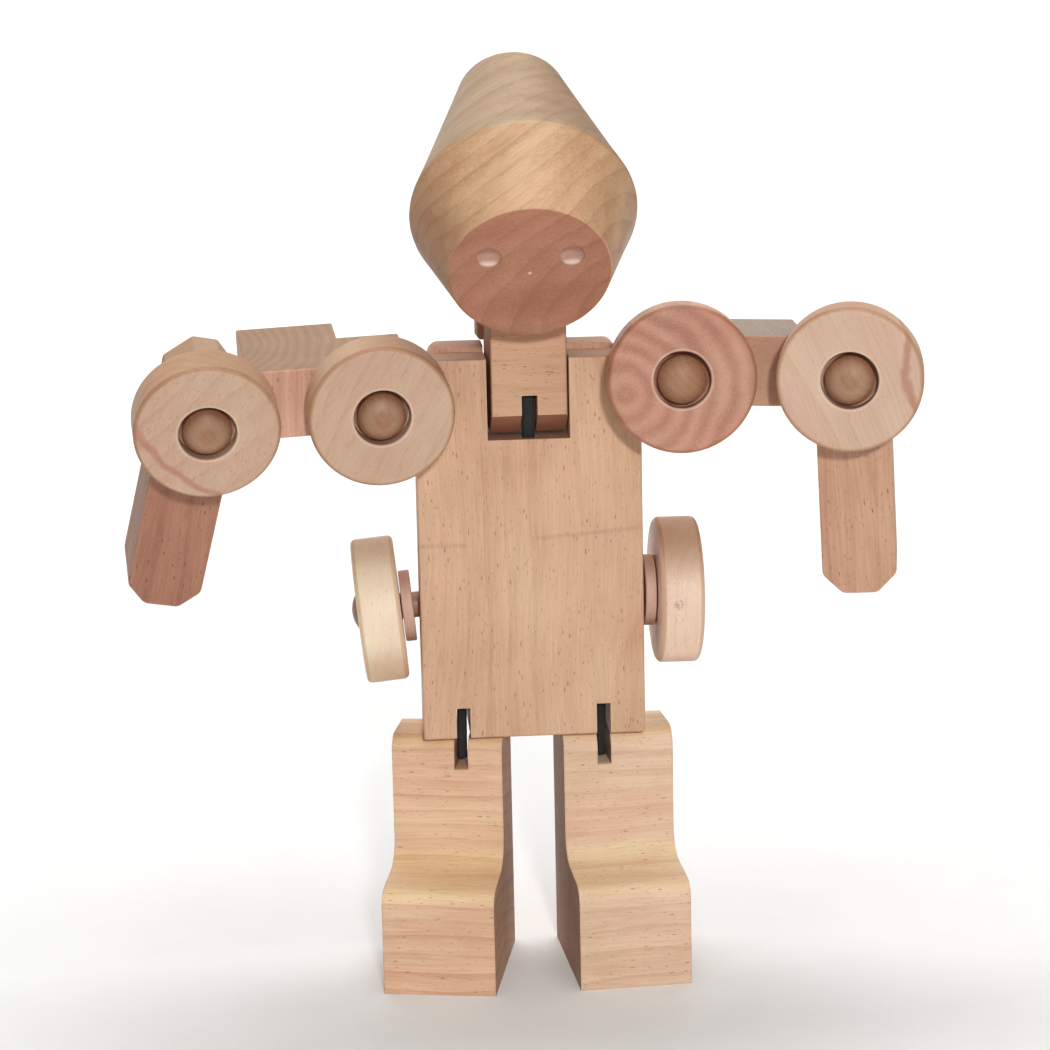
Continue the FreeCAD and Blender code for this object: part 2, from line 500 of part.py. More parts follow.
# ---------------------------------------------------------------- wheels, hub rings and pegs
def wheel_set(tag, label, where, radius, gap, ring_t, grip):
    """One wheel on its peg. Local z runs outward from the block's face."""
    b = new_body("wheel_turned_" + tag)
    sk = sketch(b, "XZ_Plane", "wheel_profile_" + tag)
    z0 = "%s+%s+gap" % (gap, ring_t)
    z1 = z0 + "+wheel_t"
    poly(sk, [("bore_r", z0), (radius, z0), (radius, z1), ("well_r", z1), ("well_r", z1 + "-well_depth"), ("bore_r", z1 + "-well_depth")])
    f = b.newObject("PartDesign::Revolution", "wheel_revolved_" + tag)
    f.Profile = sk
    f.ReferenceAxis = (plane(b, "Z_Axis"), [""])
    f.Angle = 360
    sk.Visibility = False
    doc.recompute()
    dress(b, "Fillet", lambda q: near(q.BoundBox.XMax, value(radius)) and near(q.BoundBox.ZMax, q.BoundBox.ZMin), "wheel_edge", "wheel_edge_" + tag)
    dress(b, "Fillet", lambda q: near(q.BoundBox.XMax, D["well_r"]) and near(q.BoundBox.ZMax, value(z1)) and near(q.BoundBox.ZMin, value(z1)), "0.45", "well_edge_" + tag)
    b.Placement = where
    b.Label = "wheel_" + label
    NODES.append(b)

    # hub ring
    r1 = doc.addObject("Part::Cylinder", "ring_disc_" + tag)
    r1.setExpression("Radius", "dims.ring_r")
    r1.setExpression("Height", "dims." + ring_t)
    r2 = doc.addObject("Part::Cylinder", "ring_hole_" + tag)
    r2.setExpression("Radius", "dims.bore_r")
    r2.setExpression("Height", "dims.%s*3" % ring_t)
    r2.Placement = Placement(V(0, 0, -D[ring_t]), Rotation())
    cut = doc.addObject("Part::Cut", "ring_cut_" + tag)
    cut.Base, cut.Tool = r1, r2
    doc.recompute()
    rim = [i + 1 for i, q in enumerate(cut.Shape.Edges) if near(q.BoundBox.XMax, D["ring_r"]) and q.Closed]
    f = doc.addObject("Part::Fillet", "ring_" + tag)
    f.Base = cut
    f.Edges = [(i, 0.4, 0.4) for i in rim]
    f.Placement = where.multiply(Placement(V(0, 0, value(gap)), Rotation()))
    f.Label = "hub_ring_" + label
    NODES.append(f)

    # peg: shaft, head with a domed top
    head0 = value(z1) - D["well_depth"] + D["gap"]
    top = value(z1) + D["peg_proud"]
    R = (D["peg_head_r"] ** 2 + D["peg_dome"] ** 2) / (2 * D["peg_dome"])
    shaft = doc.addObject("Part::Cylinder", "peg_shaft_" + tag)
    shaft.setExpression("Radius", "dims.peg_r")
    shaft.Height = grip + head0 + 0.5
    shaft.Placement = Placement(V(0, 0, -grip), Rotation())
    cap = doc.addObject("Part::Cylinder", "peg_cap_" + tag)
    cap.setExpression("Radius", "dims.peg_head_r")
    cap.Height = top - head0 + 0.5
    cap.Placement = Placement(V(0, 0, head0), Rotation())
    ball = doc.addObject("Part::Sphere", "peg_ball_" + tag)
    ball.Radius = R
    ball.Placement = Placement(V(0, 0, top - R), Rotation())
    dome = doc.addObject("Part::Common", "peg_dome_" + tag)
    dome.Base, dome.Tool = cap, ball
    peg = doc.addObject("Part::Fuse", "peg_" + tag)
    peg.Base, peg.Tool = shaft, dome
    peg.Placement = where
    peg.Label = "peg_" + label
    NODES.append(peg)


OUT = Placement(V(0, 0, 0), Rotation(X, 90))
LOW = Placement(V(0, 0, -D["peg_drop"]), Rotation(X, 90))
wheel_set("sh_rt", "shoulder_right", SH["rt"].multiply(LOW), "r_sh_rt", "0", "ring_arm_t", 6.9)
wheel_set("sh_lt", "shoulder_left", SH["lt"].multiply(LOW), "r_sh_lt", "0", "ring_arm_t", 6.9)
wheel_set("el_rt", "elbow_right", EL["rt"].multiply(OUT), "r_el_rt", "0", "ring_arm_t", 8.9)
wheel_set("el_lt", "elbow_left", EL["lt"].multiply(OUT), "r_el_lt", "0", "ring_arm_t", 8.9)
wheel_set("hip_rt", "hip_right", HIP["rt"], "r_hip_rt", "hip_rt_out", "ring_hip_t", 9.9)
wheel_set("hip_lt", "hip_left", HIP["lt"], "r_hip_lt", "hip_lt_out", "ring_hip_t", 9.9)

# ---------------------------------------------------------------- check and export
doc.recompute()
bad = []
for o in doc.Objects:
    if "Invalid" in o.State or "Error" in o.State:
        bad.append(o.Name + " " + str(o.State))
for o in NODES:
    if o.Shape.isNull() or not o.Shape.isValid() or o.Shape.Volume <= 0 or len(o.Shape.Solids) != 1:
        bad.append("%s: null, invalid or not one solid (%d)" % (o.Label, len(o.Shape.Solids)))
if bad:
    raise RuntimeError("; ".join(bad))
box = FreeCAD.BoundBox()
for o in NODES:
    o.Shape.exportStep("parts/%s.step" % o.Label)
    box.add(o.Shape.optimalBoundingBox())
print("nodes", len(NODES), [round(v, 3) for v in (box.XMin, box.XMax, box.YMin, box.YMax, box.ZMin, box.ZMax)])
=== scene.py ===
import json
import math

import bpy
from mathutils import Euler, Matrix, Vector


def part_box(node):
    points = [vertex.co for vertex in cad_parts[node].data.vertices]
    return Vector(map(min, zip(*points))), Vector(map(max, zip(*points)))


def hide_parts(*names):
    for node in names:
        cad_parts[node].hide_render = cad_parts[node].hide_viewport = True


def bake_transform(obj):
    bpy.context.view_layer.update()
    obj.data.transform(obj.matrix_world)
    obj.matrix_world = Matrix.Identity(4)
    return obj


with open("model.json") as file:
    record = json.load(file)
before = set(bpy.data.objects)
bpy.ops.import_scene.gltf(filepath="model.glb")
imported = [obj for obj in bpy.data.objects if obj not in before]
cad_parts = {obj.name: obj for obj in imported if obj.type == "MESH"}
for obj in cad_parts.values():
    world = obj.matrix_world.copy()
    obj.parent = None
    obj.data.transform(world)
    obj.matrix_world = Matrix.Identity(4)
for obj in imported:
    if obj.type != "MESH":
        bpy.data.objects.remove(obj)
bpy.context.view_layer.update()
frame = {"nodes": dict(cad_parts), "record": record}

nodes = frame["nodes"]
joints = {j["name"]: j for j in frame["record"]["behaviour"]["joints"]}
MM = 0.001
SHIFT = Vector((3.464, -4.1795, 0.0))      # the design's own shift, in mm


def jaxis(name):
    return Vector(joints[name]["axis"]).normalized()


def jpos(name):
    return Vector(joints[name]["pos_m"])


def centre(name):
    lo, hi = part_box(name)
    return (Vector(lo) + Vector(hi)) / 2


def axes(z, x_hint):
    """A rotation whose third column is z (the grain) and whose first is near x_hint (away from the pith)."""
    z = Vector(z).normalized()
    x = Vector(x_hint)
    x = (x - z * x.dot(z)).normalized()
    y = z.cross(x)
    return Matrix((x, y, z)).transposed()


# ------------------------------------------------------------------ node helpers
class Tree:
    def __init__(self, name):
        self.mat = bpy.data.materials.new(name)
        self.mat.use_nodes = True
        self.t = self.mat.node_tree
        self.t.nodes.clear()
        self.out = self.add("ShaderNodeOutputMaterial")
        self.bsdf = self.add("ShaderNodeBsdfPrincipled")
        self.link(self.bsdf.outputs[0], self.out.inputs[0])

    def add(self, kind):
        return self.t.nodes.new(kind)

    def link(self, a, b):
        self.t.links.new(a, b)

    def put(self, value, socket):
        if hasattr(value, "is_output"):
            self.link(value, socket)
        else:
            socket.default_value = value

    def math(self, op, a, b=None, c=None, clamp=False):
        n = self.add("ShaderNodeMath")
        n.operation = op
        n.use_clamp = clamp
        self.put(a, n.inputs[0])
        if b is not None:
            self.put(b, n.inputs[1])
        if c is not None:
            self.put(c, n.inputs[2])
        return n.outputs[0]

    def vec(self, op, a, b=None):
        n = self.add("ShaderNodeVectorMath")
        n.operation = op
        self.put(a, n.inputs[0])
        if b is not None:
            self.put(b, n.inputs[1])
        return n.outputs["Value"] if op in ("LENGTH", "DOT_PRODUCT", "DISTANCE") else n.outputs["Vector"]

    def step(self, v, a, b, lo=0.0, hi=1.0):
        n = self.add("ShaderNodeMapRange")
        n.interpolation_type = "SMOOTHSTEP"
        self.put(v, n.inputs["Value"])
        n.inputs["From Min"].default_value, n.inputs["From Max"].default_value = a, b
        n.inputs["To Min"].default_value, n.inputs["To Max"].default_value = lo, hi
        return n.outputs["Result"]

    def noise(self, v, scale, detail=2.0, rough=0.5):
        n = self.add("ShaderNodeTexNoise")
        self.put(v, n.inputs["Vector"])
        n.inputs["Scale"].default_value = scale
        n.inputs["Detail"].default_value = detail
        n.inputs["Roughness"].default_value = rough
        return n.outputs[0]

    def mix(self, f, a, b, kind="MIX"):
        n = self.add("ShaderNodeMix")
        n.data_type = "RGBA"
        n.blend_type = kind
        self.put(f, n.inputs[0])
        for v, s in ((a, n.inputs[6]), (b, n.inputs[7])):
            if isinstance(v, (tuple, list)):
                s.default_value = (*v, 1.0)
            else:
                self.link(v, s)
        return n.outputs[2]

    def mapping(self, v, loc=(0, 0, 0), rot=(0, 0, 0), scale=(1, 1, 1)):
        n = self.add("ShaderNodeMapping")
        self.link(v, n.inputs["Vector"])
        n.inputs["Location"].default_value = loc
        n.inputs["Rotation"].default_value = rot
        n.inputs["Scale"].default_value = scale
        return n.outputs["Vector"]

    def xyz(self, v):
        n = self.add("ShaderNodeSeparateXYZ")
        self.link(v, n.inputs[0])
        return n.outputs


# ------------------------------------------------------------------ beech
def beech(name, rot, origin, pale, deep, pith=(90.0, 25.0), ring=2.6, ring_k=0.16,
          fleck=0.75, fleck_col=(0.30, 0.13, 0.07), end=(0.74, 0.66, 0.60), rough=0.52,
          seed=0.0, streak=0.5, wear=(0.80, 0.60, 0.46), wear_k=0.35, lathe=None, extra=None, sharp=0.0004, soft_rings=0.0):
    """Beech with its grain along rot's third axis. Sizes are millimetres in the piece's own wood frame."""
    t = Tree(name)
    co = t.add("ShaderNodeTexCoord")
    inv = rot.transposed()
    at = -(inv @ Vector(origin)) * 1000.0
    p = t.mapping(co.outputs["Object"], at, inv.to_euler("XYZ"), (1000, 1000, 1000))
    q = t.mapping(p, (seed * 17.3, seed * 9.1, seed * 31.7))
    # the tree's slow wander: the grain lines drift sideways as they run
    slow = t.add("ShaderNodeTexNoise")
    t.link(t.mapping(q, scale=(1, 1, 0.35)), slow.inputs["Vector"])
    slow.inputs["Scale"].default_value = 0.028
    slow.inputs["Detail"].default_value = 2.0
    drift = t.vec("SUBTRACT", slow.outputs["Color"], (0.5, 0.5, 0.5))
    drift = t.vec("MULTIPLY", drift, (11.0, 11.0, 0.0))
    w = t.vec("ADD", q, drift)
    wp = t.vec("ADD", p, drift)
    # growth rings about the pith
    flat = t.vec("MULTIPLY", t.vec("SUBTRACT", wp, (pith[0], pith[1], 0)), (1, 1, 0))
    turns = t.math("DIVIDE", t.vec("LENGTH", flat), ring)
    frac = t.math("FRACT", turns)
    late = t.math("MULTIPLY", t.math("POWER", frac, 3.2), t.step(frac, 1.0, 0.93))
    each = t.add("ShaderNodeTexWhiteNoise")
    each.noise_dimensions = "1D"
    t.link(t.math("FLOOR", turns), each.inputs["W"])
    late = t.math("MULTIPLY", late, t.math("MULTIPLY_ADD", each.outputs["Value"], 0.8, 0.35))
    # fibres, wider streaks and blotches
    fibre = t.noise(t.mapping(w, scale=(2.3, 2.3, 0.07)), 1.0, 3.0, 0.6)
    band = t.noise(t.mapping(w, scale=(0.17, 0.17, 0.010)), 1.0, 3.0, 0.55)
    blot = t.noise(q, 0.05, 3.0, 0.5)
    # short dark ray flecks, each a thin spindle along the grain, some cells empty
    vor = t.add("ShaderNodeTexVoronoi")
    vor.feature = "F1"
    vor.distance = "EUCLIDEAN"
    t.link(t.mapping(w, scale=(1.05, 1.05, 0.30)), vor.inputs["Vector"])
    vor.inputs["Scale"].default_value = 1.0
    cell = t.xyz(vor.outputs["Color"])
    size = t.math("MULTIPLY_ADD", cell[0], 0.12, 0.06)
    spindle = t.step(t.math("SUBTRACT", vor.outputs["Distance"], size), 0.0, 0.05, 1.0, 0.0)
    patch = t.step(t.math("ADD", t.math("MULTIPLY", cell[1], 0.8), t.math("MULTIPLY", blot, 0.5)), 0.40, 0.66)
    dash = t.math("MULTIPLY", spindle, patch)
    vor2 = t.add("ShaderNodeTexVoronoi")
    vor2.feature = "F1"
    t.link(t.mapping(w, (3.1, 1.7, 5.0), scale=(1.9, 1.9, 0.42)), vor2.inputs["Vector"])
    vor2.inputs["Scale"].default_value = 1.0
    cell2 = t.xyz(vor2.outputs["Color"])
    small = t.math("MULTIPLY", t.step(vor2.outputs["Distance"], 0.10, 0.26, 1.0, 0.0), t.step(cell2[1], 0.10, 0.6))
    # colour
    f = t.math("MULTIPLY", t.math("SUBTRACT", band, 0.5), 1.6 * streak)
    f = t.math("ADD", f, t.math("MULTIPLY", t.math("SUBTRACT", fibre, 0.5), 1.5))
    f = t.math("ADD", f, t.math("MULTIPLY", t.math("SUBTRACT", blot, 0.5), 1.1))
    f = t.math("ADD", f, t.math("MULTIPLY", late, ring_k * 2.4))
    if soft_rings:
        wave = t.math("SINE", t.math("MULTIPLY", turns, 2 * math.pi))
        f = t.math("ADD", f, t.math("MULTIPLY", wave, soft_rings))
    f = t.math("ADD", f, 0.42, clamp=True)
    col = t.mix(f, pale, deep)
    hue = t.step(t.noise(t.mapping(w, (7.0, 3.0, 1.0), scale=(0.075, 0.075, 0.012)), 1.0, 2.0), 0.38, 0.64)
    col = t.mix(t.math("MULTIPLY", hue, 0.75), col, t.mix(1.0, col, (0.985, 0.895, 0.915), "MULTIPLY"))
    # end grain is duller and greyer
    geo_n = co.outputs["Normal"]
    g = rot @ Vector((0, 0, 1))
    facing = t.math("ABSOLUTE", t.vec("DOT_PRODUCT", geo_n, tuple(g)))
    endk = t.step(facing, 0.45, 0.95)
    col = t.mix(endk, col, t.mix(1.0, col, end, "MULTIPLY"))
    # arrises rubbed paler by handling
    bev = t.add("ShaderNodeBevel")
    bev.samples = 6
    bev.inputs["Radius"].default_value = 0.0009
    geo = t.add("ShaderNodeNewGeometry")
    edge = t.step(t.vec("DOT_PRODUCT", bev.outputs[0], geo.outputs["Normal"]), 0.995, 0.86, 0.0, 1.0)
    patchy = t.step(t.noise(q, 0.22, 3.0, 0.6), 0.40, 0.62)
    edge = t.math("MULTIPLY", edge, t.math("MULTIPLY_ADD", patchy, 0.7, 0.3))
    col = t.mix(t.math("MULTIPLY", edge, wear_k), col, wear)
    # flecks go on last, dark
    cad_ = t.math("MAXIMUM", t.math("MULTIPLY", dash, 0.66), t.math("MULTIPLY", small, 0.46))
    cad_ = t.math("MULTIPLY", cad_, fleck)
    col = t.mix(t.math("MULTIPLY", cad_, t.math("MULTIPLY_ADD", endk, -0.45, 1.0)), col, fleck_col)
    # faint turning lines on lathe-made pieces
    ridges = None
    if lathe is not None:
        a_pos, a_dir = lathe
        rel = t.vec("SUBTRACT", co.outputs["Object"], tuple(a_pos))
        along = t.vec("DOT_PRODUCT", rel, tuple(a_dir))
        n = t.add("ShaderNodeVectorMath")
        n.operation = "SCALE"
        n.inputs[0].default_value = tuple(a_dir)
        t.link(along, n.inputs["Scale"])
        rad = t.vec("LENGTH", t.vec("SUBTRACT", rel, n.outputs["Vector"]))
        line = t.math("ADD", t.math("MULTIPLY", rad, 1000.0), t.math("MULTIPLY", along, 1000.0))
        one = t.add("ShaderNodeTexNoise")
        one.noise_dimensions = "1D"
        t.link(line, one.inputs["W"])
        one.inputs["Scale"].default_value = 2.4
        one.inputs["Detail"].default_value = 3.0
        ridges = one.outputs[0]
        col = t.mix(t.math("MULTIPLY", t.math("SUBTRACT", ridges, 0.5, clamp=True), 0.35), col,
                    t.mix(1.0, col, (0.72, 0.62, 0.56), "MULTIPLY"))
        if extra is not None:
            col = extra(t, col, co.outputs["Object"], rad, along, geo_n)
    elif extra is not None:
        col = extra(t, col, co.outputs["Object"], None, None, geo_n)
    t.link(col, t.bsdf.inputs["Base Color"])
    # roughness and relief
    r = t.math("MULTIPLY_ADD", t.math("SUBTRACT", fibre, 0.5), 0.14, rough)
    r = t.math("ADD", r, t.math("MULTIPLY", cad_, 0.16))
    r = t.math("ADD", r, t.math("MULTIPLY", endk, 0.10), clamp=True)
    t.link(r, t.bsdf.inputs["Roughness"])
    t.bsdf.inputs["Specular IOR Level"].default_value = 0.34
    h = t.math("MULTIPLY", fibre, 0.55)
    h = t.math("SUBTRACT", h, t.math("MULTIPLY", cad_, 0.9))
    h = t.math("ADD", h, t.math("MULTIPLY", t.noise(q, 0.4, 2.0), 0.5))
    h = t.math("SUBTRACT", h, t.math("MULTIPLY", late, 0.3))
    if ridges is not None:
        h = t.math("ADD", h, t.math("MULTIPLY", ridges, 0.7))
    bump = t.add("ShaderNodeBump")
    bump.inputs["Strength"].default_value = 0.55
    bump.inputs["Distance"].default_value = 0.00007
    t.link(h, bump.inputs["Height"])
    soft = t.add("ShaderNodeBevel")
    soft.samples = 6
    soft.inputs["Radius"].default_value = sharp
    t.link(soft.outputs[0], bump.inputs["Normal"])
    t.link(bump.outputs[0], t.bsdf.inputs["Normal"])
    return t.mat


def dress(node, material):
    o = nodes[node]
    if not o.material_slots:
        o.data.materials.append(material)
    for s in o.material_slots:
        s.material = material


UP = Vector((0, 0, 1))
PALE, DEEP = (0.72, 0.475, 0.300), (0.575, 0.345, 0.205)
# the pinker pair is a beech tone that also carries painted bounce light from the nearby wood, for the back parts seen
# in gaps
PINK_BOUNCE_LIT, PINKD_BOUNCE_LIT = (0.70, 0.455, 0.315), (0.56, 0.315, 0.210)


# ------------------------------------------------------------------ blocks
def mineral_line(t, col, obj, rad, along, n):
    """A faint reddish natural line that crosses the front board, broken in the middle."""
    x, y, z = t.xyz(t.mapping(obj, scale=(1000, 1000, 1000)))
    wob = t.math("MULTIPLY", t.math("SUBTRACT", t.noise(t.mapping(obj, scale=(1000, 1000, 1000)), 0.25, 2.0), 0.5), 1.3)
    level = t.math("MAXIMUM", 107.9, t.math("MULTIPLY_ADD", x, 0.078, 108.67))
    off = t.math("ABSOLUTE", t.math("SUBTRACT", t.math("ADD", z, wob), level))
    line = t.step(off, 0.05, 0.95, 1.0, 0.0)
    left = t.step(x, -13.5, -10.0, 1.0, 0.0)
    right = t.step(x, 3.0, 8.0)
    line = t.math("MULTIPLY", line, t.math("ADD", left, right, clamp=True))
    return t.mix(t.math("MULTIPLY", line, 0.20), col, (0.30, 0.12, 0.07))


def shaded_top(tone):
    """The upward faces of the arm blocks are darkened to a dull olive tan: painted shade, tinted olive."""
    def paint(t, col, obj, rad, along, n):
        nx, ny, nz = t.xyz(n)
        return t.mix(t.math("MULTIPLY", t.step(nz, 0.6, 0.9), 0.9), col, t.mix(1.0, col, tone, "MULTIPLY"))
    return paint


def foot_light_and_shade(inner, k):
    """The instep gets painted light, brighter and more golden; the sides between the legs get painted shade, a darker
    brown.
    """
    def paint(t, col, obj, rad, along, n):
        nx, ny, nz = t.xyz(n)
        # painted light on the upward-facing instep
        top = t.math("MULTIPLY", t.step(nz, 0.25, 0.75), t.step(ny, 0.2, -0.1))
        col = t.mix(t.math("MULTIPLY", top, 0.85), col, t.mix(1.0, col, (1.15, 1.24, 1.10), "MULTIPLY"))
        # painted shade on the inner side between the legs
        side = t.step(t.math("MULTIPLY", nx, inner), 0.6, 0.9)
        return t.mix(t.math("MULTIPLY", side, k), col, t.mix(1.0, col, (0.55, 0.50, 0.46), "MULTIPLY"))
    return paint


def forearm_tones(up, out, k):
    """A forearm's sloped top is a paler olive, and so is its outward side."""
    def paint(t, col, obj, rad, along, n):
        top = t.step(t.vec("DOT_PRODUCT", n, tuple(up)), 0.45, 0.65)
        side = t.step(t.vec("DOT_PRODUCT", n, tuple(out)), 0.80, 0.95)
        pick = t.math("MAXIMUM", top, t.math("MULTIPLY", side, 0.7))
        return t.mix(t.math("MULTIPLY", pick, k), col, t.mix(0.6, col, (0.56, 0.40, 0.25)))
    return paint


def neck_painted_shade(t, col, obj, rad, along, n):
    """The cut under the neck's front edge gets painted shade, a darker reddish brown."""
    nx, ny, nz = t.xyz(n)
    under = t.math("MULTIPLY", t.step(nz, -0.35, -0.6), t.step(ny, -0.3, -0.6))
    return t.mix(t.math("MULTIPLY", under, 0.88), col, (0.235, 0.085, 0.045))


c = centre("torso_front")
dress("torso_front", beech("beech_torso_front", axes(UP, (0, -1, 0)), c, (0.735, 0.485, 0.315), (0.565, 0.335, 0.205), pith=(-70, 30),
                           ring=3.4, ring_k=0.20, fleck=0.9, seed=1.0, streak=0.7, extra=mineral_line))
c = centre("torso_back_board")
dress("torso_back_board", beech("beech_torso_back", axes(UP, (0.3, 1, 0)), c, PINK_BOUNCE_LIT, PINKD_BOUNCE_LIT, pith=(80, -20), fleck=0.8, seed=2.3))
side = jaxis("neck_nod")
c = centre("neck")
# the extra paints shade under the neck's front edge
dress("neck", beech("beech_neck", axes(side, (0, -1, 0.2)), c, (0.70, 0.44, 0.285), (0.56, 0.32, 0.19), pith=(60, 40), fleck=0.95, seed=3.1, extra=neck_painted_shade))
dress("neck_back_block", beech("beech_neck_back", axes(side, (0, 0, 1)), centre("neck_back_block"), PINK_BOUNCE_LIT, PINKD_BOUNCE_LIT, pith=(50, 40), seed=4.4))
dress("neck_dowel", beech("beech_neck_dowel", axes(jaxis("head_turn"), (1, 0, 0)), centre("neck_dowel"), PINK_BOUNCE_LIT, PINKD_BOUNCE_LIT, seed=5.2,
                          lathe=(jpos("head_turn"), jaxis("head_turn"))))
for w, k in (("right", 6.0), ("left", 7.7)):
    lx = jaxis("hip_" + w)
    pale, deep = ((0.86, 0.605, 0.405), (0.67, 0.405, 0.245)) if w == "right" else ((0.89, 0.665, 0.485), (0.72, 0.475, 0.32))
    # the extra paints light on the instep and painted shade on the inner side
    dress("leg_" + w, beech("beech_leg_" + w, axes(lx, (0, -0.35, 1)), centre("leg_" + w), pale, deep,
                            pith=(-75, 38) if w == "right" else (-95, -30), ring=3.8, ring_k=0.34, fleck=1.0, fleck_col=(0.42, 0.20, 0.12), seed=k, streak=0.75,
                            wear=(0.58, 0.33, 0.22), wear_k=0.45, extra=foot_light_and_shade(1.0 if w == "right" else -1.0, 0.35 if w == "right" else 0.8)))
    # arms: the block's own axes come from its joints
    ax = jaxis("shoulder_swing_" + w)
    ay = -jaxis("wheel_spin_shoulder_" + w)
    az = ax.cross(ay)
    arm_c = centre("upper_arm_" + w)
    grain = ay if w == "left" else az
    # the extra darkens the upward faces of the arm block to olive: painted shade
    dress("upper_arm_" + w, beech("beech_upper_arm_" + w, axes(grain, ax), arm_c, (0.76, 0.49, 0.36), (0.60, 0.345, 0.245),
                                  pith=(-40, 8) if w == "right" else (22, 26), ring=2.6, ring_k=0.22, soft_rings=0.34 if w == "right" else 0.10, fleck=0.7, seed=k + 1.3,
                                  end=(0.74, 0.69, 0.64), extra=shaded_top((0.62, 0.69, 0.58) if w == "right" else (0.32, 0.41, 0.38))))
    fy = jaxis("elbow_" + w)
    fd = Vector(joints["elbow_" + w]["pos_m"])
    fz = centre("forearm_" + w) - fd
    fz = (fz - fy * fz.dot(fy)).normalized()
    pale, deep = ((0.47, 0.245, 0.155), (0.335, 0.155, 0.095)) if w == "right" else ((0.69, 0.42, 0.285), (0.52, 0.285, 0.18))
    dress("forearm_" + w, beech("beech_forearm_" + w, axes(fz, fy), centre("forearm_" + w), pale, deep,
                                pith=(60, -45), ring=3.0, ring_k=0.25, fleck=1.35 if w == "right" else 1.15, fleck_col=(0.21, 0.085, 0.05), seed=k + 2.9,
                                streak=0.7, extra=forearm_tones(-fz, fy.cross(fz) if w == "left" else -fy.cross(fz), 0.85)))


# ------------------------------------------------------------------ head, one turning
HEAD_C = (Vector((-0.45, -4.35, 187.97)) + SHIFT) * MM
FACE = Vector((0, -math.cos(math.radians(35)), -math.sin(math.radians(35))))


def face_tones(t, col, obj, rad, along, n):
    """The flat face is redder and darker; a pale lathe-centre mark sits in its middle; the rear cone is greyer; the eye
    dimples get a painted highlight on their lower lip and painted shade on their upper wall.
    """
    on_face = t.math("MULTIPLY", t.step(along, 0.0202, 0.0205), t.step(rad, 0.0186, 0.0189, 1.0, 0.0))
    col = t.mix(t.math("MULTIPLY", on_face, 0.85), col, t.mix(1.0, col, (0.60, 0.385, 0.415), "MULTIPLY"))
    dimple = t.math("MULTIPLY", on_face, t.math("MULTIPLY", t.step(along, 0.02145, 0.0211), t.step(rad, 0.0160, 0.0155)))
    col = t.mix(t.math("MULTIPLY", dimple, 0.35), col, (0.66, 0.44, 0.375))
    # painted highlight on the dimples' lower lip and painted shade on their upper wall, picked by which way the normal
    # tilts
    painted_lip_lighting = t.vec("DOT_PRODUCT", n, (0.0, FACE.z, -FACE.y))
    col = t.mix(t.math("MULTIPLY", t.math("MULTIPLY", dimple, t.step(painted_lip_lighting, 0.20, 0.42)), 0.65), col, (0.90, 0.70, 0.62))
    col = t.mix(t.math("MULTIPLY", t.math("MULTIPLY", dimple, t.step(painted_lip_lighting, -0.04, -0.28)), 0.70), col, (0.33, 0.15, 0.11))
    rear = t.step(along, 0.0012, -0.0012)
    col = t.mix(t.math("MULTIPLY", rear, 0.8), col, t.mix(1.0, col, (0.60, 0.645, 0.60), "MULTIPLY"))
    crease = t.step(t.math("ABSOLUTE", t.math("SUBTRACT", along, 0.0002)), 0.0002, 0.0011, 1.0, 0.0)
    col = t.mix(t.math("MULTIPLY", crease, 0.22), col, (0.50, 0.27, 0.15))
    dot = t.math("MULTIPLY", t.step(rad, 0.0003, 0.0006, 1.0, 0.0), on_face)
    return t.mix(t.math("MULTIPLY", dot, 0.75), col, (0.72, 0.52, 0.40))


dress("head", beech("beech_head", axes((0.80, 0.20, 0.56), FACE), HEAD_C, (0.72, 0.475, 0.285), (0.52, 0.305, 0.165),
                    pith=(48, 30), ring=4.2, ring_k=0.26, fleck=0.34, seed=11.0, streak=0.95, rough=0.46,
                    lathe=(HEAD_C, FACE), extra=face_tones, sharp=0.0003))


# ------------------------------------------------------------------ wheels, rings, pegs
def turned_edges(axis, then=None, gold=0.85):
    """A wheel's rim is more golden than its faces, and the rounded edge between them is burnished brown; the recess
    round the peg gets painted shade and its edge a painted highlight.
    """
    def paint(t, col, obj, rad, along, n):
        flat = t.math("ABSOLUTE", t.vec("DOT_PRODUCT", n, tuple(axis)))
        rim = t.step(flat, 0.75, 0.30)
        outer = t.step(rad, 0.0150, 0.0156)
        col = t.mix(t.math("MULTIPLY", t.math("MULTIPLY", rim, outer), gold), col, t.mix(1.0, col, (0.97, 0.89, 0.74), "MULTIPLY"))
        turn = t.math("MULTIPLY", t.step(flat, 0.985, 0.80), t.step(flat, 0.10, 0.45))
        col = t.mix(t.math("MULTIPLY", t.math("MULTIPLY", turn, outer), 0.62), col, t.mix(1.0, col, (0.72, 0.53, 0.38), "MULTIPLY"))
        # painted shade in the recess round the peg
        shaded_well = t.math("MULTIPLY", t.step(rad, 0.00655, 0.00645), t.step(rad, 0.0030, 0.0034))
        col = t.mix(t.math("MULTIPLY", shaded_well, 0.75), col, t.mix(1.0, col, (0.62, 0.40, 0.40), "MULTIPLY"))
        # painted highlight on the chamfer round the recess
        painted_lip_lighting = t.step(t.math("ABSOLUTE", t.math("SUBTRACT", rad, 0.0071)), 0.0001, 0.0005, 1.0, 0.0)
        col = t.mix(t.math("MULTIPLY", t.math("MULTIPLY", painted_lip_lighting, t.step(flat, 0.5, 0.8)), 0.35), col, (0.86, 0.66, 0.52))
        return then(t, col, obj, rad, along, n) if then else col
    return paint


